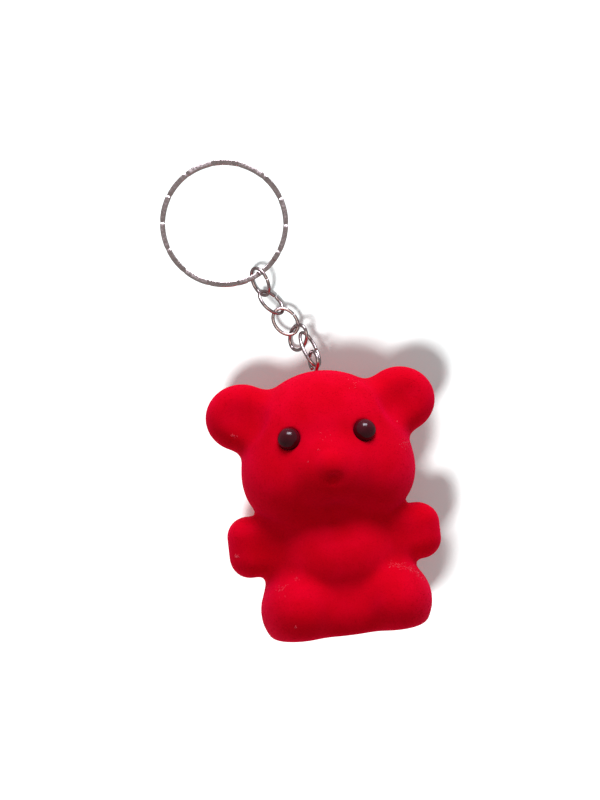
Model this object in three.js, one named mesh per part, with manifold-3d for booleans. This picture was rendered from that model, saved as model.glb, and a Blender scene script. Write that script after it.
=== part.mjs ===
// A flocked bear key chain: a hollow moulded bear with a velvet flock skin, bead eyes, a screw eye in its crown,
// five loose chain links and a faceted split ring. It lies on its back as on a table.
// Millimetres. +Z is up from the table and out of the bear's face, +Y runs from its seat to its crown.
// The origin is the middle of the flat rest on the bear's back. The bear's own left side is +X.
import * as THREE from "three";
import { mergeVertices } from "three/addons/utils/BufferGeometryUtils.js";
import Module from "manifold-3d";

const wasm = await Module();
wasm.setup();

// ---------------------------------------------------------------- driving dimensions
const seatY = -15.2; // plane of the flat seat
const gap = 0.3; // room kept between two touching pieces

const pile = 0.6; // thickness of the flock skin
const wall = 2; // thickness of the moulded shell
const bodyCell = 3; // size of the net that the bear's surface is drawn with
const hollowCell = 4.2; // and of the net inside it

const beadRadius = 2.5;
const faceX = -0.3; // the face is moulded this far to one side of the head
const eyeAt = new THREE.Vector3(8.4, 29.6, 40); // above the place where each bead sits
const postRadius = 0.9;
const postLength = 3.6;

const plugRadius = 2.3;
const plugZ = 9.5; // height of the screw eye's axis above the table
const crownY = 43; // where that axis leaves the head
const seatPlugRadius = 6;
const seatPlugZ = 13;

const linkWire = 0.8;
const linkLength = 7.6;
const linkWidth = 5.8;
const endLinkLength = 10;
const endLinkWidth = 5.4;
const seam = 0.12; // the open joint that a bent wire link closes with

const eyeWire = 0.9;
const eyeRadius = 2.15; // to the middle of the wire
const eyeY = 46.4; // the middle of the screw eye's loop

const ringRadius = 15; // outside of the split ring
const ringBand = 1.2; // its wire, across
const ringLayer = 0.85; // its wire, along the ring's axis
const ringPitch = 0.95;
const facets = 14;

// ---------------------------------------------------------------- materials
const paint = (color, roughness, metalness) => new THREE.MeshStandardMaterial({ color, roughness, metalness });
const flock = paint(0xc8001e, 0.95, 0);
const vinyl = paint(0xb5121f, 0.5, 0);
const plugPlastic = paint(0x9c0f1a, 0.45, 0);
const blackBead = paint(0x120a0c, 0.12, 0);
const plated = paint(0xc9c4c2, 0.22, 1);

const figure = new THREE.Group();
const addPiece = (name, geometry, material) => {
  const mesh = new THREE.Mesh(geometry, material);
  mesh.name = name;
  figure.add(mesh);
  return mesh;
};

// ---------------------------------------------------------------- solids and booleans
// A closed geometry as a manifold-3d solid.
function solid(geometry) {
  const bare = geometry.index ? geometry.toNonIndexed() : geometry.clone();
  for (const name of Object.keys(bare.attributes)) if (name !== "position") bare.deleteAttribute(name);
  const merged = mergeVertices(bare, 1e-4);
  return new wasm.Manifold(
    new wasm.Mesh({
      numProp: 3,
      vertProperties: merged.attributes.position.array,
      triVerts: new Uint32Array(merged.index.array),
    }),
  );
}

function geometryOf(made) {
  const mesh = made.getMesh();
  const points = new Float32Array(mesh.numVert * 3);
  for (let i = 0; i < mesh.numVert; i++) {
    points.set(mesh.vertProperties.subarray(i * mesh.numProp, i * mesh.numProp + 3), i * 3);
  }
  return new THREE.BufferGeometry()
    .setAttribute("position", new THREE.BufferAttribute(points, 3))
    .setIndex(new THREE.BufferAttribute(new Uint32Array(mesh.triVerts), 1));
}

// A lathe about +Y through a place, from [radius, height] pairs.
function turned(profile, at, segments) {
  const points = profile.map(([radius, height]) => new THREE.Vector2(radius, height));
  return new THREE.LatheGeometry(points, segments).translate(at.x, at.y, at.z);
}

// Everything on the kept side of the table and of the seat, for a body that lies this far inside the flock.
function mouldBox(inset) {
  const size = 120;
  const box = new THREE.BoxGeometry(size, size, size);
  return solid(box.translate(0, seatY + inset + size / 2, inset + size / 2));
}

// ---------------------------------------------------------------- the bear's shape
// Each form is a distance field in millimetres: negative inside. A pair is the same form on both sides of x = 0.
const ellipsoid = (centre, radii, pair = false) => (p) => {
  const x = ((pair ? Math.abs(p.x) : p.x) - centre[0]) / radii[0];
  const y = (p.y - centre[1]) / radii[1];
  const z = (p.z - centre[2]) / radii[2];
  const reach = Math.hypot(x, y, z);
  return reach < 1e-6 ? -Math.min(...radii) : (reach * (reach - 1)) / Math.hypot(x / radii[0], y / radii[1], z / radii[2]);
};
const roundedBlock = (centre, half, round) => (p) => {
  const x = Math.abs(p.x - centre[0]) - half[0] + round;
  const y = Math.abs(p.y - centre[1]) - half[1] + round;
  const z = Math.abs(p.z - centre[2]) - half[2] + round;
  const outside = Math.hypot(Math.max(x, 0), Math.max(y, 0), Math.max(z, 0));
  return outside + Math.min(Math.max(x, y, z), 0) - round;
};
// Joins two distances with a fillet of about that size.
const smoothUnion = (a, b, fillet) => {
  const near = Math.max(fillet - Math.abs(a - b), 0) / fillet;
  return Math.min(a, b) - (near * near * fillet) / 4;
};
const smoothCut = (a, b, fillet) => -smoothUnion(-a, b, fillet);

const atHeight = (above) => seatY + above;
const trunk = [
  [ellipsoid([0, 26.8, 14.5], [17.9, 17.2, 15]), 3],
  [ellipsoid([9.3, atHeight(35), 16.5], [9.85, 9.7, 12.7], true), 6],
  [ellipsoid([0, atHeight(37.4), 25.2], [9.7, 7.8, 7.8]), 2.4],
  [ellipsoid([0, atHeight(15.2), 13], [16.7, 17.6, 13.2]), 5],
  [ellipsoid([0, atHeight(16.6), 18], [11.2, 9.2, 10.4]), 3.5],
  [ellipsoid([0, atHeight(5), 14.5], [13, 10, 13.5]), 3],
  [ellipsoid([10.95, atHeight(6), 17], [8.9, 9.2, 14]), 2.6],
  [ellipsoid([-9.9, atHeight(6), 17], [8.9, 9.2, 14]), 2.6],
];
const outworks = [
  [ellipsoid([faceX, atHeight(38), 32], [2.5, 2.5, 2.1]), 2],
  [ellipsoid([18.1, atHeight(50.5), 13.5], [8.15, 7.6, 6.2], true), 3.4],
  [roundedBlock([16.6, atHeight(20.5), 14.2], [7.1, 6.3, 6.4], 4.6), 2.4],
  [roundedBlock([-17.3, atHeight(21.2), 14.2], [7.1, 6.8, 6.4], 4.6), 2.4],
];
const joined = (forms) => (p) =>
  forms.reduce((sum, [form, fillet]) => smoothUnion(sum, form(p), fillet), 1e3);
const innerEar = ellipsoid([18.9, atHeight(50.8), 22.1], [5.4, 5.2, 3.4], true);
const mouth = ellipsoid([faceX, atHeight(35), 33.6], [1.25, 1.2, 2]);
const bearField = (p) => smoothCut(smoothCut(joined([...trunk, ...outworks])(p), innerEar(p), 2.5), mouth(p), 1.3);
const hollowField = (p) => joined(trunk)(p) + pile + gap + wall;

const bearLow = new THREE.Vector3(-31.5, seatY - 8, -7);
const bearHigh = new THREE.Vector3(31.5, 51, 40);

function outward(field, p) {
  const step = 0.05;
  const slope = (dx, dy, dz) =>
    field(new THREE.Vector3(p.x + dx, p.y + dy, p.z + dz)) - field(new THREE.Vector3(p.x - dx, p.y - dy, p.z - dz));
  return new THREE.Vector3(slope(step, 0, 0), slope(0, step, 0), slope(0, 0, step)).divideScalar(2 * step);
}

// The zero surface of a field as a closed net: one point in each cell that it crosses, one quad at each edge.
function netOf(field, low, high, cell) {
  const count = high.clone().sub(low).divideScalar(cell).ceil();
  const [nx, ny, nz] = [count.x + 1, count.y + 1, count.z + 1];
  const key = (i, j, k) => i + nx * (j + ny * k);
  const corner = (i, j, k) => new THREE.Vector3(low.x + i * cell, low.y + j * cell, low.z + k * cell);
  const value = new Float64Array(nx * ny * nz);
  for (let k = 0; k < nz; k++)
    for (let j = 0; j < ny; j++) for (let i = 0; i < nx; i++) value[key(i, j, k)] = field(corner(i, j, k));

  const points = [];
  const pointOf = new Map();
  const pointIn = (i, j, k) => {
    const id = key(i, j, k);
    if (pointOf.has(id)) return pointOf.get(id);
    const p = new THREE.Vector3();
    let crossings = 0;
    for (let axis = 0; axis < 3; axis++)
      for (let edge = 0; edge < 4; edge++) {
        const from = [i, j, k];
        from[(axis + 1) % 3] += edge & 1;
        from[(axis + 2) % 3] += edge >> 1;
        const to = [...from];
        to[axis] += 1;
        const [a, b] = [value[key(...from)], value[key(...to)]];
        if (a < 0 === b < 0) continue;
        p.add(corner(...from).lerp(corner(...to), a / (a - b)));
        crossings += 1;
      }
    p.divideScalar(crossings);
    for (let pass = 0; pass < 3; pass++) {
      const slope = outward(field, p);
      p.addScaledVector(slope, -field(p) / slope.lengthSq());
    }
    pointOf.set(id, points.length);
    points.push(p);
    return points.length - 1;
  };

  const triangles = [];
  for (let k = 1; k < nz - 1; k++)
    for (let j = 1; j < ny - 1; j++)
      for (let i = 1; i < nx - 1; i++)
        for (let axis = 0; axis < 3; axis++) {
          const next = [i, j, k];
          next[axis] += 1;
          const inside = value[key(i, j, k)] < 0;
          if (inside === value[key(...next)] < 0) continue;
          const [u, v] = [(axis + 1) % 3, (axis + 2) % 3];
          const quad = [
            [0, 0],
            [1, 0],
            [1, 1],
            [0, 1],
          ].map(([du, dv]) => {
            const cellAt = [i, j, k];
            cellAt[u] -= du;
            cellAt[v] -= dv;
            return pointIn(...cellAt);
          });
          if (!inside) quad.reverse();
          triangles.push(quad[0], quad[1], quad[2], quad[0], quad[2], quad[3]);
        }
  return { points, triangles };
}

// The net as a geometry, with every point moved inwards by that much.
function shrunk(net, field, depth) {
  const moved = net.points.map((p) => p.clone().addScaledVector(outward(field, p).normalize(), -depth));
  return new THREE.BufferGeometry().setFromPoints(moved).setIndex(net.triangles);
}

const bearNet = netOf(bearField, bearLow, bearHigh, bodyCell);
const hollowNet = netOf(hollowField, bearLow, bearHigh, hollowCell);
const bearSolid = (depth) => solid(shrunk(bearNet, bearField, depth)).intersect(mouldBox(depth));

// ---------------------------------------------------------------- eyes
// Each bead sits on the face, its post square to the surface.
function seatedBead(side) {
  const p = new THREE.Vector3(faceX + side * eyeAt.x, eyeAt.y, eyeAt.z);
  while (bearField(p) > 0.005) p.z -= Math.max(bearField(p) * 0.7, 0.003);
  const direction = outward(bearField, p).normalize();
  const turn = new THREE.Quaternion().setFromUnitVectors(new THREE.Vector3(0, 1, 0), direction);
  return { p, turn };
}

function beadGeometry() {
  const back = -0.55; // the bead's flat back, just under the pile
  const profile = [
    [0, -postLength],
    [postRadius, -postLength],
    [postRadius, back],
  ];
  const steps = 7;
  const lowest = Math.asin(back / beadRadius);
  for (let i = 0; i <= steps; i++) {
    const angle = lowest + ((Math.PI / 2 - lowest) * i) / steps;
    profile.push([i === steps ? 0 : beadRadius * Math.cos(angle), beadRadius * Math.sin(angle)]);
  }
  return turned(profile, new THREE.Vector3(), 18);
}

const place = (geometry, seat) => geometry.applyQuaternion(seat.turn).translate(seat.p.x, seat.p.y, seat.p.z);
const drill = (radius, from, to) => turned([[0, from], [radius, from], [radius, to], [0, to]], new THREE.Vector3(), 20);
const seats = { eye_left: seatedBead(1), eye_right: seatedBead(-1) };
for (const [name, seat] of Object.entries(seats)) {
  const bead = addPiece(name, beadGeometry(), blackBead);
  bead.position.copy(seat.p);
  bead.quaternion.copy(seat.turn);
}

// ---------------------------------------------------------------- shell and flock skin
const eyeSockets = (radius) => Object.values(seats).map((seat) => solid(place(drill(radius, -8, 6), seat)));
const crownHole = (radius) =>
  solid(turned([[0, 0], [radius, 0], [radius, 16], [0, 16]], new THREE.Vector3(0, 33, plugZ), 16));
const seatHole = (radius) =>
  solid(turned([[0, 0], [radius, 0], [radius, 8], [0, 8]], new THREE.Vector3(0, seatY - 2, seatPlugZ), 28));
const cutAll = (made, tools) => tools.reduce((left, tool) => left.subtract(tool), made);

const skin = cutAll(bearSolid(0), [
  bearSolid(pile),
  ...eyeSockets(beadRadius + gap),
  crownHole(eyeWire / 2 + 2 * gap),
  seatHole(seatPlugRadius + gap),
]);
addPiece("flock_skin", geometryOf(skin), flock);

const hollow = solid(shrunk(hollowNet, hollowField, 0)).intersect(mouldBox(pile + gap + wall));
const shell = cutAll(bearSolid(pile + gap), [
  hollow,
  ...eyeSockets(postRadius + gap),
  crownHole(plugRadius + gap),
  seatHole(seatPlugRadius + gap),
]);
addPiece("body_shell", geometryOf(shell), vinyl);

// ---------------------------------------------------------------- plugs
// The seat plug snaps in: its lip is wider than the hole and sits inside the shell.
const lip = seatPlugRadius + 1;
const insideWall = pile + gap + wall + gap;
addPiece(
  "seat_plug",
  turned(
    [
      [0, 0.2],
      [seatPlugRadius, 0.2],
      [seatPlugRadius, insideWall],
      [lip, insideWall],
      [lip - 0.6, insideWall + 1],
      [seatPlugRadius - 1.2, insideWall + 1],
      [seatPlugRadius - 1.2, 1.4],
      [0, 1.4],
    ],
    new THREE.Vector3(0, seatY, seatPlugZ),
    28,
  ),
  plugPlastic,
);

// The crown plug is the anchor that the screw eye is driven into.
const shankRadius = 0.8;
const threadRadius = 1.05;
const shankTop = crownY - 2.2;
const shankEnd = 35.4;
const plugEnd = 34.2;
const plugTop = crownY - 2.7;
const boreRadius = threadRadius + gap;
addPiece(
  "crown_plug",
  turned(
    [
      [0, plugEnd],
      [plugRadius - 0.6, plugEnd],
      [plugRadius, plugEnd + 0.8],
      [plugRadius, plugTop - 0.3],
      [plugRadius - 0.3, plugTop],
      [boreRadius + 0.3, plugTop],
      [boreRadius, plugTop - 0.3],
      [boreRadius, shankEnd - gap],
      [0, shankEnd - gap - 0.4],
    ],
    new THREE.Vector3(0, 0, plugZ),
    20,
  ),
  plugPlastic,
);

// ---------------------------------------------------------------- wire pieces
const degrees = THREE.MathUtils.degToRad;
const wireSection = (diameter, sides) => {
  const section = new THREE.Shape();
  for (let i = 0; i < sides; i++) {
    const angle = (2 * Math.PI * i) / sides;
    const [x, y] = [(diameter / 2) * Math.cos(angle), (diameter / 2) * Math.sin(angle)];
    if (i) section.lineTo(x, y);
    else section.moveTo(x, y);
  }
  section.closePath();
  return section;
};
const sweep = (section, path, steps) =>
  new THREE.ExtrudeGeometry(section, { steps, bevelEnabled: false, extrudePath: path });

class Formula extends THREE.Curve {
  constructor(formula) {
    super();
    this.formula = formula;
  }
  getPoint(t) {
    return this.formula(t);
  }
}

// A chain link in its own frame: long axis X, lying in XY, with its butt joint in the middle of one side.
function linkGeometry(length, width) {
  const [a, b] = [(length - linkWire) / 2, (width - linkWire) / 2];
  const open = seam / 2 / a;
  const oval = new Formula((t) => {
    const angle = Math.PI / 2 + open + (2 * Math.PI - 2 * open) * t;
    return new THREE.Vector3(a * Math.cos(angle), b * Math.sin(angle), 0);
  });
  return sweep(wireSection(linkWire, 6), oval, 26);
}

// ---------------------------------------------------------------- the chain's lie
// Each link's middle, the way its long axis runs from the split ring towards the bear, and the way its width leans.
const lie = [
  { centre: [-9.79, 66.27, 2.48], along: [0.303, -0.948, -0.093], across: [0.601, 0.115, 0.791] },
  { centre: [-7.81, 61.21, 2.67], along: [0.673, -0.735, -0.085], across: [0.472, 0.515, -0.715] },
  { centre: [-5.03, 56.38, 2.94], along: [0.564, -0.825, 0.013], across: [0.825, 0.564, 0.013] },
  { centre: [-2.58, 52.31, 3.66], along: [-0.428, -0.637, -0.641], across: [0.468, -0.763, 0.446] },
  { centre: [-0.37, 49.22, 6.45], along: [0.225, -0.881, 0.416], across: [0.718, -0.139, -0.682] },
];
lie.forEach(({ centre, along, across }, i) => {
  const last = i === lie.length - 1;
  const geometry = last ? linkGeometry(endLinkLength, endLinkWidth) : linkGeometry(linkLength, linkWidth);
  const link = addPiece(`chain_link_${i + 1}`, geometry, plated);
  const x = new THREE.Vector3(...along).normalize();
  const z = x.clone().cross(new THREE.Vector3(...across)).normalize();
  link.quaternion.setFromRotationMatrix(new THREE.Matrix4().makeBasis(x, z.clone().cross(x), z));
  link.position.set(...centre);
});

// ---------------------------------------------------------------- screw eye
// Wire runs up the shank, bends out to the loop and goes round it to a small gap. The loop leans to the bear's right.
const eyeLean = degrees(68);
function screwEye() {
  const points = [shankTop - 1, shankTop, crownY - 0.7, crownY - 0.1].map((y) => new THREE.Vector3(0, y, 0));
  const [start, end, count] = [-58, 236, 12];
  for (let i = 0; i <= count; i++) {
    const angle = degrees(start + ((end - start) * i) / count);
    points.push(new THREE.Vector3(eyeRadius * Math.cos(angle), eyeY + eyeRadius * Math.sin(angle), 0));
  }
  const loop = solid(sweep(wireSection(eyeWire, 6), new THREE.CatmullRomCurve3(points), 28));
  const thread = [[0, shankEnd]];
  const turns = 6;
  for (let i = 0; i < turns; i++) {
    const low = shankEnd + 0.5 + ((shankTop - shankEnd - 0.5) * i) / turns;
    const high = shankEnd + 0.5 + ((shankTop - shankEnd - 0.5) * (i + 0.5)) / turns;
    thread.push([shankRadius, low], [threadRadius, high]);
  }
  thread.push([shankRadius, shankTop], [0, shankTop + 0.2]);
  return loop.add(solid(turned(thread, new THREE.Vector3(), 12)));
}
const screw = addPiece("screw_eye", geometryOf(screwEye()), plated);
screw.position.z = plugZ;
screw.rotation.y = -eyeLean;

// ---------------------------------------------------------------- split ring
// Nearly two turns of flat wire. The wire steps from the lower turn to the upper one beside its two ends.
function splitRing() {
  const middle = ringRadius - ringBand / 2;
  const ramp = degrees(26);
  const clear = degrees(3);
  const first = ramp / 2 + clear;
  const last = 4 * Math.PI - ramp / 2 - clear;
  const path = new Formula((t) => {
    const angle = first + (last - first) * t;
    const climb = THREE.MathUtils.smoothstep(angle, 2 * Math.PI - ramp / 2, 2 * Math.PI + ramp / 2);
    return new THREE.Vector3(middle * Math.cos(angle), -middle * Math.sin(angle), (climb - 0.5) * ringPitch);
  });
  const [h, w, c] = [ringLayer / 2, ringBand / 2, 0.15];
  const section = new THREE.Shape(
    [[h, w - c], [h - c, w], [c - h, w], [-h, w - c], [-h, c - w], [c - h, -w], [h - c, -w], [h, c - w]].map(
      ([x, y]) => new THREE.Vector2(x, y),
    ),
  );
  const geometry = sweep(section, path, 72);
  // Hammered facets: each fourteenth of the ring leans the other way, so its rim is cut back more at the top or the foot.
  const spots = geometry.attributes.position;
  const p = new THREE.Vector3();
  for (let i = 0; i < spots.count; i++) {
    p.fromBufferAttribute(spots, i);
    const radius = Math.hypot(p.x, p.y);
    const lean = Math.sin((Math.atan2(p.y, p.x) * facets) / 2);
    const cut = radius > middle ? 0.12 * (1 + (lean * p.z) / ringPitch) : 0;
    spots.setXYZ(i, p.x * (1 - cut / radius), p.y * (1 - cut / radius), p.z);
  }
  return geometry;
}
const ringCentre = new THREE.Vector2(-16.56, 80.82);
const hook = new THREE.Vector3(-9.55, 68.43, 2.53); // where the first link lifts it
const keyRing = addPiece("key_ring", splitRing(), plated);
const toHook = new THREE.Vector3(hook.x - ringCentre.x, hook.y - ringCentre.y, 0).normalize();
const restHeight = ringPitch / 2 + ringLayer / 2 + 0.02; // of the far side, which lies on the table
const tilt = Math.asin((hook.z - restHeight) / (2 * ringRadius - ringBand));
keyRing.position.set(ringCentre.x, ringCentre.y, (hook.z + restHeight) / 2);
keyRing.quaternion
  .setFromAxisAngle(new THREE.Vector3(0, 0, 1).cross(toHook), -tilt)
  .multiply(new THREE.Quaternion().setFromAxisAngle(new THREE.Vector3(0, 0, 1), degrees(-59)));

export default figure;
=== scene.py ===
import math

import bpy
import numpy as np
from mathutils import Matrix, Vector


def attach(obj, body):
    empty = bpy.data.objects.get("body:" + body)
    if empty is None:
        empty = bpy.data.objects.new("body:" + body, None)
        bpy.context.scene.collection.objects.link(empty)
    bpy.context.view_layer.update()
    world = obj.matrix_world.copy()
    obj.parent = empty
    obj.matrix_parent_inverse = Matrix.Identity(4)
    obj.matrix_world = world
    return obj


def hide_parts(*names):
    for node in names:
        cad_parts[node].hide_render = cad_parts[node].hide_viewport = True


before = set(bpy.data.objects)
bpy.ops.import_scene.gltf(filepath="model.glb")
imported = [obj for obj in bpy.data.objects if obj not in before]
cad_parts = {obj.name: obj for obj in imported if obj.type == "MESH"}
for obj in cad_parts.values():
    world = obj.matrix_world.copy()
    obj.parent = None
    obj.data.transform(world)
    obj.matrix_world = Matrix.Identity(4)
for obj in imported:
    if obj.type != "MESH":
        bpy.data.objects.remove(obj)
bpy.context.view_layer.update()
MM = 0.001

# ---------------------------------------------------------------- the bear's shape, in millimetres
SEAT_Y = -15.2  # plane of the flat seat
PILE = 0.6  # thickness of the flock skin
GAP = 0.3  # room between two touching pieces
WALL = 2.0  # thickness of the moulded shell
BEAD_RADIUS = 2.5
POST_RADIUS = 0.9
POST_LENGTH = 3.6
FACE_X = -0.3  # the face is moulded this far to one side of the head
EYE_ABOVE = (8.4, 29.6, 40.0)  # above the place where each bead sits
PLUG_Z = 9.5  # height of the screw eye's axis above the table
CROWN_Y = 43.0  # where that axis leaves the head
SHANK_ROOM = 2.2  # depth of the hole round the screw eye's shank
SEAT_PLUG_RADIUS = 6.0
SEAT_PLUG_Z = 13.0


def ellipsoid(p, centre, radii, paired):
    x = ((np.abs(p[..., 0]) if paired else p[..., 0]) - centre[0]) / radii[0]
    y = (p[..., 1] - centre[1]) / radii[1]
    z = (p[..., 2] - centre[2]) / radii[2]
    reach = np.sqrt(x * x + y * y + z * z)
    slope = np.sqrt((x / radii[0]) ** 2 + (y / radii[1]) ** 2 + (z / radii[2]) ** 2)
    return reach * (reach - 1) / np.maximum(slope, 1e-9)


def rounded_block(p, centre, half, rounding):
    q = [np.abs(p[..., i] - centre[i]) - half[i] + rounding for i in range(3)]
    outside = np.sqrt(sum(np.maximum(v, 0) ** 2 for v in q))
    return outside + np.minimum(np.maximum.reduce(q), 0) - rounding


def smooth_union(a, b, fillet):
    near = np.maximum(fillet - np.abs(a - b), 0) / fillet
    return np.minimum(a, b) - near * near * fillet / 4


def smooth_cut(a, b, fillet):
    return -smooth_union(-a, b, fillet)


def at_height(h):
    return SEAT_Y + h


TRUNK = [
    # kind, centre, radii or half sizes, paired left and right, fillet
    ("ball", (0, 26.8, 14.5), (17.9, 17.2, 15), False, 3),
    ("ball", (9.3, at_height(35), 16.5), (9.85, 9.7, 12.7), True, 6),
    ("ball", (0, at_height(37.4), 25.2), (9.7, 7.8, 7.8), False, 2.4),
    ("ball", (0, at_height(15.2), 13), (16.7, 17.6, 13.2), False, 5),
    ("ball", (0, at_height(16.6), 18), (11.2, 9.2, 10.4), False, 3.5),
    ("ball", (0, at_height(5), 14.5), (13, 10, 13.5), False, 3),
    ("ball", (10.95, at_height(6), 17), (8.9, 9.2, 14), False, 2.6),
    ("ball", (-9.9, at_height(6), 17), (8.9, 9.2, 14), False, 2.6),
]
OUTWORKS = [
    ("ball", (FACE_X, at_height(38), 32), (2.5, 2.5, 2.1), False, 2),
    ("ball", (18.1, at_height(50.5), 13.5), (8.15, 7.6, 6.2), True, 3.4),
    ("block", (16.6, at_height(20.5), 14.2), (7.1, 6.3, 6.4), False, 2.4),
    ("block", (-17.3, at_height(21.2), 14.2), (7.1, 6.8, 6.4), False, 2.4),
]
ARM_ROUNDING = 4.6
EAR_HOLLOW = ((18.9, at_height(50.8), 22.1), (5.4, 5.2, 3.4), True)
EAR_HOLLOW_FILLET = 2.5
MOUTH = ((FACE_X, at_height(35), 33.6), (1.25, 1.2, 2), False)
MOUTH_FILLET = 1.3
EDGE_FILLET = 1.2  # round the flat back and the flat seat


def joined(p, forms):
    total = np.full(p.shape[:-1], 1e3)
    for kind, centre, size, paired, fillet in forms:
        if kind == "ball":
            d = ellipsoid(p, centre, size, paired)
        else:
            d = rounded_block(p, centre, size, ARM_ROUNDING)
        total = smooth_union(total, d, fillet)
    return total


def bear_form(p):
    total = joined(p, TRUNK + OUTWORKS)
    total = smooth_cut(total, ellipsoid(p, *EAR_HOLLOW), EAR_HOLLOW_FILLET)
    return smooth_cut(total, ellipsoid(p, *MOUTH), MOUTH_FILLET)


def slope_of(field, p, step=0.05):
    out = np.empty_like(p)
    for axis in range(3):
        d = np.zeros(3)
        d[axis] = step
        out[..., axis] = (field(p + d) - field(p - d)) / (2 * step)
    return out


def seated_bead(side):
    p = np.array([FACE_X + side * EYE_ABOVE[0], EYE_ABOVE[1], EYE_ABOVE[2]])
    while bear_form(p) > 0.005:
        p[2] -= max(float(bear_form(p)) * 0.7, 0.003)
    out = slope_of(bear_form, p)
    return p, out / np.linalg.norm(out)


SEATS = {"left": seated_bead(1), "right": seated_bead(-1)}


def rested(d, p, inset):
    """Cuts a form flat where it lies on its back and where it sits."""
    d = smooth_cut(d, p[..., 2] - inset, EDGE_FILLET)
    return smooth_cut(d, p[..., 1] - SEAT_Y - inset, EDGE_FILLET)


def seat_hole(p, radius, depth):
    return np.maximum(np.hypot(p[..., 0], p[..., 2] - SEAT_PLUG_Z) - radius, p[..., 1] - SEAT_Y - depth)


def crown_hole(p, radius, depth):
    return np.maximum(np.hypot(p[..., 0], p[..., 2] - PLUG_Z) - radius, CROWN_Y - depth - p[..., 1])


def skin_field(p):
    d = bear_form(p)
    for at, _ in SEATS.values():
        d = smooth_cut(d, np.linalg.norm(p - at, axis=-1) - BEAD_RADIUS - 0.02, 0.5)
    d = rested(d, p, 0)
    d = smooth_cut(d, seat_hole(p, SEAT_PLUG_RADIUS + 0.25, 1.8), 0.5)
    return smooth_cut(d, crown_hole(p, 0.62, SHANK_ROOM), 0.5)


def under_skin_field(p):
    return rested(bear_form(p) + PILE, p, PILE)


def shell_field(p):
    d = rested(bear_form(p) + PILE + GAP, p, PILE + GAP)
    hollow = rested(joined(p, TRUNK) + PILE + GAP + WALL, p, PILE + GAP + WALL)
    d = smooth_cut(d, hollow, 0.6)
    d = smooth_cut(d, seat_hole(p, SEAT_PLUG_RADIUS + GAP, 8), 0.4)
    d = smooth_cut(d, crown_hole(p, 2.6, 10.8), 0.4)
    for at, out in SEATS.values():
        along = (p - at) @ out
        away = np.linalg.norm(p - at - along[..., None] * out, axis=-1)
        d = smooth_cut(d, np.maximum(away - 1.2, np.abs(along) - 8), 0.3)
    return d


def surface_net(field, low, high, cell):
    """The zero surface of a field: a point for each cell that it crosses, a quad for each crossed edge."""
    axes = [np.arange(low[i], high[i] + cell, cell) for i in range(3)]
    grid = np.stack(np.meshgrid(*axes, indexing="ij"), -1)
    value = np.concatenate([field(part) for part in np.array_split(grid, 8)])
    inside = value < 0
    shape = np.array(value.shape) - 1
    total = np.zeros(shape)
    place = np.zeros((*shape, 3))
    for axis in range(3):
        others = [a for a in range(3) if a != axis]
        a = np.moveaxis(value, axis, 0)[:-1]
        b = np.moveaxis(value, axis, 0)[1:]
        crossed = (a < 0) != (b < 0)
        t = np.where(crossed, a / np.where(crossed, a - b, 1), 0)
        crossed, t = np.moveaxis(crossed, 0, axis), np.moveaxis(t, 0, axis)
        for u in (0, 1):
            for v in (0, 1):
                cut = [slice(None)] * 3
                cut[others[0]] = slice(u, u + shape[others[0]])
                cut[others[1]] = slice(v, v + shape[others[1]])
                c = crossed[tuple(cut)]
                total += c
                place[..., axis] += np.where(c, t[tuple(cut)], 0)
                place[..., others[0]] += c * u
                place[..., others[1]] += c * v
    live = total > 0
    index = np.full(shape, -1)
    index[live] = np.arange(live.sum())
    cells = np.argwhere(live)
    points = np.array(low) + cell * (cells + place[live] / total[live][:, None])
    for _ in range(4):
        slope = slope_of(field, points)
        length = np.maximum((slope**2).sum(-1), 0.2)
        points -= np.clip(field(points) / length, -0.3, 0.3)[:, None] * slope
    quads = []
    for axis in range(3):
        u, v = (axis + 1) % 3, (axis + 2) % 3
        a = np.moveaxis(inside, axis, 0)[:-1]
        b = np.moveaxis(inside, axis, 0)[1:]
        crossed = np.moveaxis(a != b, 0, axis)
        inward = np.moveaxis(a, 0, axis)
        for spot in np.argwhere(crossed):
            if spot[u] < 1 or spot[v] < 1 or spot[u] >= shape[u] or spot[v] >= shape[v]:
                continue
            ring = []
            for du, dv in ((0, 0), (1, 0), (1, 1), (0, 1)):
                c = spot.copy()
                c[u] -= du
                c[v] -= dv
                ring.append(int(index[tuple(c)]))
            quads.append(ring if inward[tuple(spot)] else ring[::-1])
    return points, quads


# ---------------------------------------------------------------- making pieces
def piece(name, points, faces, material, body, slot):
    """A new object with one material, given in millimetres, that moves with a body of the part."""
    mesh = bpy.data.meshes.new(name)
    mesh.from_pydata([tuple(p) for p in np.asarray(points, float) * MM], [], faces)
    mesh.validate()
    mesh.polygons.foreach_set("use_smooth", [True] * len(mesh.polygons))
    mesh.materials.append(material)
    obj = bpy.data.objects.new(name, mesh)
    bpy.context.collection.objects.link(obj)
    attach(obj, body)
    return obj


def lathe(profile, segments):
    """A closed turned solid about +Y, from (radius, height) pairs that start and end on the axis."""
    points, faces, rings = [], [], []
    for r, h in profile:
        if r < 1e-9:
            points.append((0, h, 0))
            rings.append([len(points) - 1])
            continue
        start = len(points)
        for i in range(segments):
            a = 2 * math.pi * i / segments
            points.append((r * math.cos(a), h, r * math.sin(a)))
        rings.append(list(range(start, start + segments)))
    for low, high in zip(rings, rings[1:]):
        for i in range(segments):
            j = (i + 1) % segments
            if len(low) == 1 and len(high) > 1:
                faces.append((low[0], high[i], high[j]))
            elif len(high) == 1 and len(low) > 1:
                faces.append((low[i], high[0], low[j]))
            elif len(low) > 1:
                faces.append((low[i], high[i], high[j], low[j]))
    return np.array(points, float), faces


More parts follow.
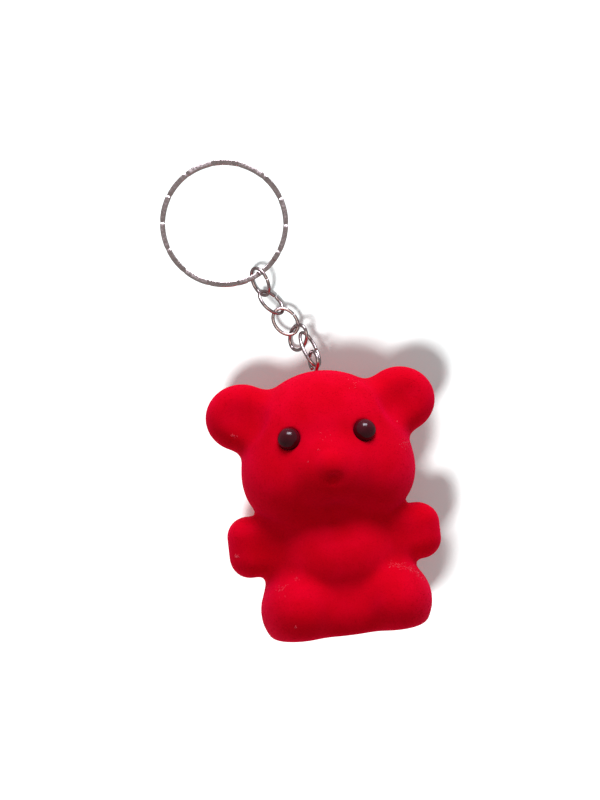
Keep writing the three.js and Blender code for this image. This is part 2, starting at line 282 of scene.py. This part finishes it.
def hollow_out(solid, cutter):
    """Cuts a closed piece out of another and deletes it."""
    cut = solid.modifiers.new("hollow", "BOOLEAN")
    cut.operation = "DIFFERENCE"
    cut.solver = "MANIFOLD"
    cut.object = cutter
    bpy.context.view_layer.update()
    seen = solid.evaluated_get(bpy.context.evaluated_depsgraph_get())
    solid.data = bpy.data.meshes.new_from_object(seen)
    solid.modifiers.clear()
    bpy.data.objects.remove(cutter)


def sweep(sections):
    """A capped tube through closed outlines."""
    points = np.concatenate(sections)
    n, sides = len(sections), len(sections[0])
    faces = []
    for i in range(n - 1):
        for j in range(sides):
            k = (j + 1) % sides
            a, b = i * sides, (i + 1) * sides
            faces.append((a + j, a + k, b + k, b + j))
    faces.append(tuple(range(sides))[::-1])
    faces.append(tuple(range((n - 1) * sides, n * sides)))
    return points, faces


def round_section(centre, side, radius, sides):
    """A circle about a point of a wire that lies in XY, square to the wire. side points out of it in XY."""
    angles = np.arange(sides) * 2 * math.pi / sides
    across, down = np.cos(angles)[:, None] * side, np.sin(angles)[:, None] * np.array([0, 0, -1])
    return centre + radius * (across + down)


def turned_to(points, direction, at):
    turn = Vector((0, 1, 0)).rotation_difference(Vector(direction)).to_matrix()
    return np.asarray(points) @ np.array(turn).T + np.asarray(at)


# ---------------------------------------------------------------- materials
class Shader:
    """Small helper around a material's nodes."""

    def __init__(self, name):
        self.material = bpy.data.materials.new(name)
        self.material.use_nodes = True
        self.tree = self.material.node_tree
        self.shader = self.tree.nodes["Principled BSDF"]
        coordinates = self.tree.nodes.new("ShaderNodeTexCoord")
        self.place = coordinates.outputs["Object"]

    def set(self, **values):
        for name, value in values.items():
            self.shader.inputs[name.replace("_", " ")].default_value = value
        return self

    def link(self, a, b):
        self.tree.links.new(a, b)

    def noise(self, size_mm, detail=2.0, roughness=0.5, stretch=None):
        """Noise whose features are about that many millimetres across."""
        node = self.tree.nodes.new("ShaderNodeTexNoise")
        node.inputs["Scale"].default_value = 1000 / size_mm
        node.inputs["Detail"].default_value = detail
        node.inputs["Roughness"].default_value = roughness
        place = self.place
        if stretch:
            mapping = self.tree.nodes.new("ShaderNodeMapping")
            mapping.inputs["Scale"].default_value = stretch
            self.link(place, mapping.inputs["Vector"])
            place = mapping.outputs["Vector"]
        self.link(place, node.inputs["Vector"])
        return node.outputs["Fac"]

    def ramp(self, fac, *stops):
        """A colour or a grey for each given value of fac, blended between them."""
        node = self.tree.nodes.new("ShaderNodeValToRGB")
        elements = node.color_ramp.elements
        while len(elements) < len(stops):
            elements.new(0.5)
        for element, (position, colour) in zip(elements, stops):
            element.position = position
            element.color = (colour, colour, colour, 1) if isinstance(colour, float) else (*colour, 1)
        self.link(fac, node.inputs["Fac"])
        return node.outputs["Color"]

    def multiply(self, a, b):
        """The product of two colours."""
        node = self.tree.nodes.new("ShaderNodeMix")
        node.data_type = "RGBA"
        node.blend_type = "MULTIPLY"
        node.inputs["Factor"].default_value = 1.0
        self.link(a, node.inputs[6])
        self.link(b, node.inputs[7])
        return node.outputs[2]

    def bump(self, height, distance_mm, strength, below=None):
        node = self.tree.nodes.new("ShaderNodeBump")
        node.inputs["Distance"].default_value = distance_mm * MM
        node.inputs["Strength"].default_value = strength
        self.link(height, node.inputs["Height"])
        if below:
            self.link(below, node.inputs["Normal"])
        return node.outputs["Normal"]

    def colour(self, socket):
        self.link(socket, self.shader.inputs["Base Color"])

    def feed(self, name, socket):
        self.link(socket, self.shader.inputs[name])


def flock_material(name):
    s = Shader(name).set(Roughness=0.95, Specular_IOR_Level=0.02, Sheen_Weight=0.30, Sheen_Roughness=0.5)
    s.shader.inputs["Sheen Tint"].default_value = (1.0, 0.0, 0.13, 1)
    nap = s.noise(7.0, 2.0)
    grain = s.noise(0.30, 3.0, 0.7)
    deep, full, bright = (0.560, 0.0001, 0.0070), (0.600, 0.0001, 0.0095), (0.640, 0.0002, 0.0130)
    base = s.ramp(nap, (0.34, deep), (0.5, full), (0.66, bright))
    speck = s.ramp(grain, (0.3, 0.86), (0.5, 1.0), (0.72, 1.06))
    s.colour(s.multiply(base, speck))
    fine = s.bump(grain, 0.04, 0.5)
    s.feed("Normal", s.bump(s.noise(0.9, 2.0), 0.04, 0.3, fine))
    return s.material


def plated_material(name, tint, worn):
    s = Shader(name).set(Metallic=1.0)
    film = s.noise(1.4, 3.0, 0.6)
    dark = tuple(c * 0.70 for c in tint)
    # The tint carries a brown-pink cast on top of the plating's own colour: painted reflection of a dark
    # brown room.
    s.colour(s.ramp(film, (0.3, dark), (0.62, tint)))
    polished = 0.16
    s.feed("Roughness", s.ramp(s.noise(0.5, 3.0), (0.35, polished), (0.7, polished + worn)))
    scratches = s.noise(0.12, 4.0, 0.6, stretch=(1.0, 0.15, 1.0))
    s.feed("Normal", s.bump(scratches, 0.004, 0.5))
    return s.material


def plastic_material(name, deep, light, roughness):
    s = Shader(name).set(Specular_IOR_Level=0.16)
    s.colour(s.ramp(s.noise(2.5, 3.0), (0.35, deep), (0.65, light)))
    s.feed("Roughness", s.ramp(s.noise(0.8, 2.0), (0.3, roughness - 0.06), (0.7, roughness + 0.08)))
    s.feed("Normal", s.bump(s.noise(0.3, 3.0), 0.01, 0.4))
    return s.material


def bead_material():
    s = Shader("black_bead").set(Specular_IOR_Level=0.36)
    # The dark plum-red is partly the bead's own dark colour and partly painted reflection of the red flock
    # round it.
    s.colour(s.ramp(s.noise(2.0, 2.0), (0.35, (0.050, 0.002, 0.006)), (0.7, (0.076, 0.004, 0.011))))
    s.feed("Roughness", s.ramp(s.noise(0.6, 3.0), (0.4, 0.14), (0.75, 0.26)))
    return s.material


def fibre_material(name, low, high):
    s = Shader(name).set(Roughness=0.95, Specular_IOR_Level=0.02, Sheen_Weight=0.2)
    s.shader.inputs["Sheen Tint"].default_value = (*high, 1)
    s.colour(s.ramp(s.noise(0.6, 2.0), (0.35, low), (0.65, high)))
    return s.material


FLOCK = flock_material("red_flock")
VINYL = plastic_material("red_vinyl", (0.36, 0.006, 0.012), (0.46, 0.010, 0.018), 0.5)
PLUG = plastic_material("red_plug", (0.44, 0.002, 0.008), (0.54, 0.004, 0.012), 0.62)
BEAD = bead_material()
# The loose fibres are coloured much lighter and pinker than the flock: partly pale loose pile, partly painted
# sheen that raised fibres catch.
PALE_PILE_AND_SHEEN = fibre_material("pale_pile_and_painted_sheen", (0.86, 0.03, 0.08), (0.98, 0.16, 0.22))
NAP = fibre_material("red_nap", (0.52, 0.0001, 0.007), (0.64, 0.0004, 0.016))
# Both metal tints are darker and pinker than plain nickel: painted reflection of a brown room.
CHAIN = plated_material("nickel_wire_painted_reflection", (0.60, 0.47, 0.47), worn=0.24)
RING = plated_material("nickel_ring_painted_reflection", (0.84, 0.69, 0.67), worn=0.2)

crown_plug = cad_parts["crown_plug"]
crown_plug.data.materials.clear()
crown_plug.data.materials.append(PLUG)

# ---------------------------------------------------------------- the flocked bear
NET = 0.6
LOW, HIGH = (-29, SEAT_Y - 3, -3), (29, 48, 37)
skin = piece("bear_flock", *surface_net(skin_field, LOW, HIGH, NET), FLOCK, "bear", "red_flock")
inside = piece("inside", *surface_net(under_skin_field, LOW, HIGH, 1.0), FLOCK, "bear", "red_flock")
hollow_out(skin, inside)
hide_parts("flock_skin")

shell = piece("bear_shell", *surface_net(shell_field, LOW, HIGH, 1.0), VINYL, "bear", "red_vinyl")
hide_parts("body_shell")

# ---------------------------------------------------------------- eyes
beads = []
for side, (at, out) in SEATS.items():
    back, bevel, steps = -0.55, 0.15, 24
    profile = [(0, -POST_LENGTH), (POST_RADIUS - bevel, -POST_LENGTH), (POST_RADIUS, bevel - POST_LENGTH)]
    profile += [(POST_RADIUS, back), (2.3, back)]
    lowest = math.asin(back / BEAD_RADIUS)
    for i in range(steps + 1):
        a = lowest + (math.pi / 2 - lowest) * i / steps
        profile.append((0 if i == steps else BEAD_RADIUS * math.cos(a), BEAD_RADIUS * math.sin(a)))
    points, faces = lathe(profile, 64)
    bead = piece("bead_" + side, turned_to(points, out, at), faces, BEAD, "bear", "black_bead")
    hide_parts("eye_" + side)
    beads.append(bead)

# ---------------------------------------------------------------- loose fibres on the flock
FRAYED = [
    # where the pile has worked loose: x, y, half spread, how many, length, thickness
    (-23.0, 4.8, 0.45, 5, 1.1, 0.05),
    (-19.9, 31.4, 0.9, 9, 0.7, 0.04),
    (-2.6, 26.5, 0.25, 3, 0.4, 0.05),
    (-5.3, 24.2, 0.25, 3, 0.4, 0.04),
    (-0.7, 29.3, 1.3, 7, 0.4, 0.03),
    (17.4, 25.4, 1.3, 34, 0.4, 0.035),
    (16.3, 30.6, 0.25, 3, 0.4, 0.04),
    (6.8, 40.0, 1.6, 9, 0.4, 0.035),
    (-10.5, -1.1, 0.8, 9, 0.5, 0.035),
    (-14.5, -3.1, 1.3, 16, 0.6, 0.035),
    (-12.0, -11.2, 0.2, 3, 0.5, 0.05),
    (10.6, -0.7, 0.8, 18, 0.4, 0.028),
    (12.2, -1.1, 0.8, 26, 0.4, 0.03),
    (13.8, -1.6, 0.8, 30, 0.4, 0.03),
    (15.2, -2.4, 0.8, 30, 0.45, 0.032),
    (16.5, -3.5, 0.8, 30, 0.45, 0.035),
    (17.6, -4.9, 0.7, 14, 0.4, 0.03),
]
rng = np.random.default_rng(11)


def fibres(at, out, along, length, thickness):
    """Bent closed slivers, one for each place, that run along a direction and bow a little outwards."""
    along = along - out * np.sum(along * out, 1, keepdims=True) * 0.999
    along /= np.linalg.norm(along, axis=1, keepdims=True)
    side = np.cross(along, out)
    bend = rng.uniform(-0.35, 0.35, (len(at), 1))
    points, faces = [], []
    for step, width in ((-0.5, 0.35), (0.0, 1.0), (0.5, 0.35)):
        middle = at + (along * step + side * bend * step * step * 2) * length
        middle = middle + out * (thickness * 0.6 - length * 0.1 * step * step)
        for k in range(3):
            a = 2 * math.pi * k / 3
            points.append(middle + (side * math.cos(a) + out * math.sin(a)) * thickness * width)
    points = np.stack(points, 1)
    for i in range(len(at)):
        b = 9 * i
        faces += [(b, b + 1, b + 2), (b + 8, b + 7, b + 6)]
        for ring in (b, b + 3):
            faces += [(ring + k, ring + 3 + k, ring + 3 + (k + 1) % 3, ring + (k + 1) % 3) for k in range(3)]
    return points.reshape(-1, 3), faces


def lowered(x, y):
    """The places on the skin straight below points above the face, and the ways out of the skin."""
    p = np.stack([x, y, np.full(len(x), 38.0)], 1)
    for _ in range(90):
        p[:, 2] -= 0.7 * np.clip(bear_form(p), 0, 4)
    out = slope_of(bear_form, p)
    return p, out / np.linalg.norm(out, axis=1, keepdims=True)


xs, ys, lengths, widths = [], [], [], []
for x, y, spread, count, length, thickness in FRAYED:
    xs.append(x + rng.normal(0, spread * 0.6, count))
    ys.append(y + rng.normal(0, spread * 0.45, count))
    lengths.append(rng.uniform(0.6, 1.4, count) * length)
    widths.append(rng.uniform(0.6, 1.3, count) * thickness)
at, out = lowered(np.concatenate(xs), np.concatenate(ys))
kept = bear_form(at) < 0.05
at, out = at[kept], out[kept]
length = np.concatenate(lengths)[kept, None]
thickness = np.concatenate(widths)[kept, None]
loose = fibres(at, out, rng.normal(size=at.shape), length, thickness)
piece("frayed_pile", *loose, PALE_PILE_AND_SHEEN, "bear", "red_flock")

# The nap: scattered points are drawn on to the skin, and those near an eye, a hole or a flat are left out.
NAP_COUNT = 7000
spots = rng.uniform(LOW, HIGH, (60000, 3))
for _ in range(8):
    way = slope_of(bear_form, spots)
    steep = np.maximum(np.sum(way * way, 1, keepdims=True), 0.1)
    spots = spots - way * bear_form(spots)[:, None] / steep
clear = (np.abs(bear_form(spots)) < 0.02) & (spots[:, 2] > 0.8) & (spots[:, 1] > SEAT_Y + 0.8)
clear &= np.hypot(spots[:, 0], spots[:, 2] - PLUG_Z) > 2.2
for bead_at, _ in SEATS.values():
    clear &= np.linalg.norm(spots - bead_at, axis=1) > BEAD_RADIUS + 0.9
spots = spots[clear][:NAP_COUNT]
out = slope_of(bear_form, spots)
out /= np.linalg.norm(out, axis=1, keepdims=True)
lie = rng.normal(size=spots.shape) * 0.8 + out * 0.9
length = rng.uniform(0.3, 0.6, (len(spots), 1))
piece("raised_nap", *fibres(spots, out, lie, length, 0.022), NAP, "bear", "red_flock")

# ---------------------------------------------------------------- seat plug
nib = [(0, 0.32), (0.55, 0.32), (0.6, 0.2)]
inner_groove = [(1.5, 0.2), (1.6, 0.28), (1.75, 0.28), (1.85, 0.2)]
outer_groove = [(5.0, 0.2), (5.1, 0.34), (5.35, 0.34), (5.45, 0.2)]
rim = [(5.82, 0.2), (6.0, 0.38), (6.0, 3.1)]
lip = [(6.9, 3.2), (6.4, 4.2), (4.8, 4.2)]
back = [(4.8, 1.4), (0, 1.4)]
profile = nib + inner_groove + outer_groove + rim + lip + back
points, faces = lathe(profile, 96)
plug = piece("seat_plug_cap", points + np.array([0, SEAT_Y, SEAT_PLUG_Z]), faces, PLUG, "bear", "red_plastic")
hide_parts("seat_plug")

# ---------------------------------------------------------------- chain links
LINK_WIRE = 0.8
LIE = [
    # middle, long axis towards the bear, width, length, breadth
    ((-9.79, 66.27, 2.48), (0.303, -0.948, -0.093), (0.601, 0.115, 0.791), 7.6, 5.8),
    ((-7.81, 61.21, 2.67), (0.673, -0.735, -0.085), (0.472, 0.515, -0.715), 7.6, 5.8),
    ((-5.03, 56.38, 2.94), (0.564, -0.825, 0.013), (0.825, 0.564, 0.013), 7.6, 5.8),
    ((-2.58, 52.31, 3.66), (-0.428, -0.637, -0.641), (0.468, -0.763, 0.446), 7.6, 5.8),
    ((-0.37, 49.22, 6.45), (0.225, -0.881, 0.416), (0.718, -0.139, -0.682), 10.0, 5.4),
]


def wire_link(length, breadth):
    """An oval of round wire in XY, butted at the middle of one side."""
    a, b = (length - LINK_WIRE) / 2, (breadth - LINK_WIRE) / 2
    seam, steps, sides = 0.06, 120, 20
    sections = []
    gap = seam / a
    for i in range(steps + 1):
        t = math.pi / 2 + gap + (2 * math.pi - 2 * gap) * i / steps
        centre = np.array([a * math.cos(t), b * math.sin(t), 0])
        out = np.array([math.cos(t) / a, math.sin(t) / b, 0])
        out /= np.linalg.norm(out)
        near_end = min(i, steps - i)
        radius = LINK_WIRE / 2 * (1 - 0.12 * max(0, 1 - near_end / 2) ** 2)
        sections.append(round_section(centre, out, radius, sides))
    return sweep(sections)


for number, (centre, along, across, length, breadth) in enumerate(LIE, 1):
    x = np.array(along) / np.linalg.norm(along)
    z = np.cross(x, across)
    z /= np.linalg.norm(z)
    basis = np.stack([x, np.cross(z, x), z], 1)
    points, faces = wire_link(length, breadth)
    points = points @ basis.T + np.array(centre)
    link = piece(f"wire_link_{number}", points, faces, CHAIN, f"link_{number}", "plated_steel")
    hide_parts(f"chain_link_{number}")

# ---------------------------------------------------------------- screw eye
EYE_WIRE, EYE_RADIUS, EYE_Y, EYE_LEAN = 0.9, 2.15, 46.4, math.radians(68)


def spline(points, count):
    """A smooth curve through points."""
    p = np.array([2 * np.array(points[0]) - points[1], *points, 2 * np.array(points[-1]) - points[-2]], float)
    out = []
    for i in range(1, len(p) - 2):
        for t in np.linspace(0, 1, count, endpoint=i == len(p) - 3):
            a, b, c, d = p[i - 1], p[i], p[i + 1], p[i + 2]
            bend, twist = 2 * a - 5 * b + 4 * c - d, 3 * b - a - 3 * c + d
            out.append(0.5 * (2 * b + (c - a) * t + bend * t * t + twist * t**3))
    return np.array(out)


def flat_tube(path, radius, sides=20):
    """A round tube along a path that lies in XY."""
    tangents = np.gradient(path, axis=0)
    sections = []
    for at, along in zip(path, tangents):
        along = along / np.linalg.norm(along)
        side = np.array([along[1], -along[0], 0])
        sections.append(round_section(at, side, radius, sides))
    return sweep(sections)


shank_top = CROWN_Y - SHANK_ROOM
route = [(0, y, 0) for y in (35.4, 38.0, shank_top, CROWN_Y - 0.7, CROWN_Y - 0.1)]
for i in range(17):
    a = math.radians(-58 + (236 + 58) * i / 16)
    route.append((EYE_RADIUS * math.cos(a), EYE_Y + EYE_RADIUS * math.sin(a), 0))
points, faces = flat_tube(spline(route, 8), EYE_WIRE / 2)
lean = np.array(Matrix.Rotation(-EYE_LEAN, 3, "Y"))
points = points @ lean.T + np.array([0, 0, PLUG_Z])
screw = piece("screw_eye_wire", points, faces, CHAIN, "bear", "plated_steel")
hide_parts("screw_eye")

# ---------------------------------------------------------------- split ring
RING_RADIUS, RING_BAND, RING_LAYER, RING_PITCH, FACETS = 15.0, 1.2, 0.85, 0.95, 14
RING_AT = (-16.56, 80.82)  # its middle, seen from above
HOOK = (-9.55, 68.43, 2.53)  # where its wire lies in the first link
RING_TURN = math.radians(-59)
ROLL_OF_FLATS = math.radians(9)


def split_ring():
    """Nearly two turns of flat wire: long flats rolled to either side, a short dent between each two."""
    middle = RING_RADIUS - RING_BAND / 2
    ramp = math.radians(26)
    first = ramp / 2 + math.radians(3)
    last = 4 * math.pi - first
    steps = 900
    h, w, c = RING_LAYER / 2, RING_BAND / 2, 0.2
    outline = []
    for sx, sy in ((1, 1), (-1, 1), (-1, -1), (1, -1)):
        for k in range(5):
            a = math.atan2(sy, sx) - math.pi / 4 + k * math.pi / 8
            outline.append((sx * (w - c) + c * math.cos(a), sy * (h - c) + c * math.sin(a)))
    outline = np.array(outline)
    sections = []
    for i in range(steps + 1):
        angle = first + (last - first) * i / steps
        t = min(max((angle - (2 * math.pi - ramp / 2)) / ramp, 0), 1)
        climb = t * t * (3 - 2 * t)
        turn = angle * FACETS / (2 * math.pi)
        lean = math.sin(turn * math.pi)
        roll = ROLL_OF_FLATS * math.copysign(abs(lean) ** 0.4, lean)
        from_dent = (turn - round(turn)) * 2 * math.pi * middle / FACETS
        dent = math.exp(-((from_dent / 0.42) ** 2))
        rotated = outline @ np.array([[math.cos(roll), math.sin(roll)], [-math.sin(roll), math.cos(roll)]])
        radial = middle - 0.03 + rotated[:, 0] * (0.95 - 0.13 * dent)
        height = rotated[:, 1] * 0.93
        height = np.where(height > 0, height * (1 - 0.42 * dent), height * (1 - 0.1 * dent))
        height = np.clip(height, -h, h) + (climb - 0.5) * RING_PITCH
        sections.append(np.stack([radial * math.cos(angle), -radial * math.sin(angle), height], 1)[::-1])
    return sweep(sections)


to_hook = Vector((HOOK[0] - RING_AT[0], HOOK[1] - RING_AT[1], 0)).normalized()
rest_height = RING_PITCH / 2 + RING_LAYER / 2 + 0.02
tilt = math.asin((HOOK[2] - rest_height) / (2 * RING_RADIUS - RING_BAND))
tipped = Matrix.Rotation(-tilt, 3, Vector((0, 0, 1)).cross(to_hook))
turn = tipped @ Matrix.Rotation(RING_TURN, 3, "Z")
points, faces = split_ring()
points = points @ np.array(turn).T + np.array([*RING_AT, (HOOK[2] + rest_height) / 2])
ring = piece("split_ring", points, faces, RING, "ring", "plated_steel")
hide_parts("key_ring")

# ---------------------------------------------------------------- studio
CAMERA_AT = Vector((-29.22, 37.8, 419.24)) * MM
LOOK = Vector((math.sin(math.radians(3.5)), 0, -math.cos(math.radians(3.5))))
ROLL = math.radians(6.6)
up = Vector((math.sin(ROLL), math.cos(ROLL), 0))
right = LOOK.cross(up).normalized()
up = right.cross(LOOK)
camera_data = bpy.data.cameras.new("camera")
camera_data.lens = 80.44
camera_data.sensor_width = 36
camera_data.clip_start = 0.01
camera = bpy.data.objects.new("camera", camera_data)
camera.matrix_world = Matrix((
    (right.x, up.x, -LOOK.x, CAMERA_AT.x),
    (right.y, up.y, -LOOK.y, CAMERA_AT.y),
    (right.z, up.z, -LOOK.z, CAMERA_AT.z),
    (0, 0, 0, 1),
))
bpy.context.collection.objects.link(camera)
bpy.context.scene.camera = camera

floor_mesh = bpy.data.meshes.new("floor")
floor_mesh.from_pydata([(-3, -3, 0), (3, -3, 0), (3, 3, 0), (-3, 3, 0)], [], [(0, 1, 2, 3)])
floor = bpy.data.objects.new("floor", floor_mesh)
bpy.context.collection.objects.link(floor)
sheet = Shader("studio_floor").set(Roughness=0.9, Specular_IOR_Level=0.0)
# The floor glows faintly and evenly. Its colour and glow are tinted cyan to cancel the red light the bear
# bounces into its shadow: painted light.
sheet.colour(sheet.ramp(sheet.noise(60, 2.0), (0.3, (0.89, 0.94, 0.94)), (0.7, (0.91, 0.96, 0.96))))
sheet.shader.inputs["Emission Color"].default_value = (0.85, 1, 1, 1)
sheet.shader.inputs["Emission Strength"].default_value = 0.16
floor_mesh.materials.append(sheet.material)
floor.visible_glossy = False


def softbox(name, at, target, size, watts, colour=(1, 1, 1)):
    light = bpy.data.lights.new(name, "AREA")
    light.shape = "RECTANGLE"
    light.size, light.size_y = size
    light.energy = watts
    light.color = colour
    obj = bpy.data.objects.new(name, light)
    obj.location = at
    obj.rotation_euler = (Vector(target) - Vector(at)).to_track_quat("-Z", "Y").to_euler()
    bpy.context.collection.objects.link(obj)
    return obj


middle = (-0.005, 0.03, 0.01)
key = softbox("key", (0.05, 0.41, 0.235), middle, (0.28, 0.18), 2.4, (0.84, 0.88, 1.0))
fill = softbox("fill", (-0.04, -0.02, 0.8), middle, (0.3, 0.3), 1.1, (1.0, 0.92, 0.8))
sweep_light = softbox("floor_light", (-0.52, -0.46, 1.25), middle, (0.32, 0.32), 25)

# The floor has its own light, whose shadows fall up and to the right.
# The lights on the bear leave the floor alone.
on_floor = bpy.data.collections.new("lit_floor")
on_floor.objects.link(floor)
sweep_light.light_linking.receiver_collection = on_floor
# The ring lies on the floor, so its shadow there would only thicken its outline.
shadowless = bpy.data.collections.new("no_floor_shadow")
shadowless.objects.link(ring)
sweep_light.light_linking.blocker_collection = shadowless
for entry in shadowless.collection_objects:
    entry.light_linking.link_state = "EXCLUDE"
for light, skipped in ((key, [floor]), (fill, [floor, ring, *beads])):
    left_out = bpy.data.collections.new(light.name + "_skips")
    for obj in skipped:
        left_out.objects.link(obj)
    light.light_linking.receiver_collection = left_out
    for entry in left_out.collection_objects:
        entry.light_linking.link_state = "EXCLUDE"

world = bpy.data.worlds.new("studio")
world.use_nodes = True
world.node_tree.nodes["Background"].inputs["Color"].default_value = (1.0, 0.96, 0.96, 1)
world.node_tree.nodes["Background"].inputs["Strength"].default_value = 0.25
bpy.context.scene.world = world
bpy.context.scene.view_settings.view_transform = "Standard"
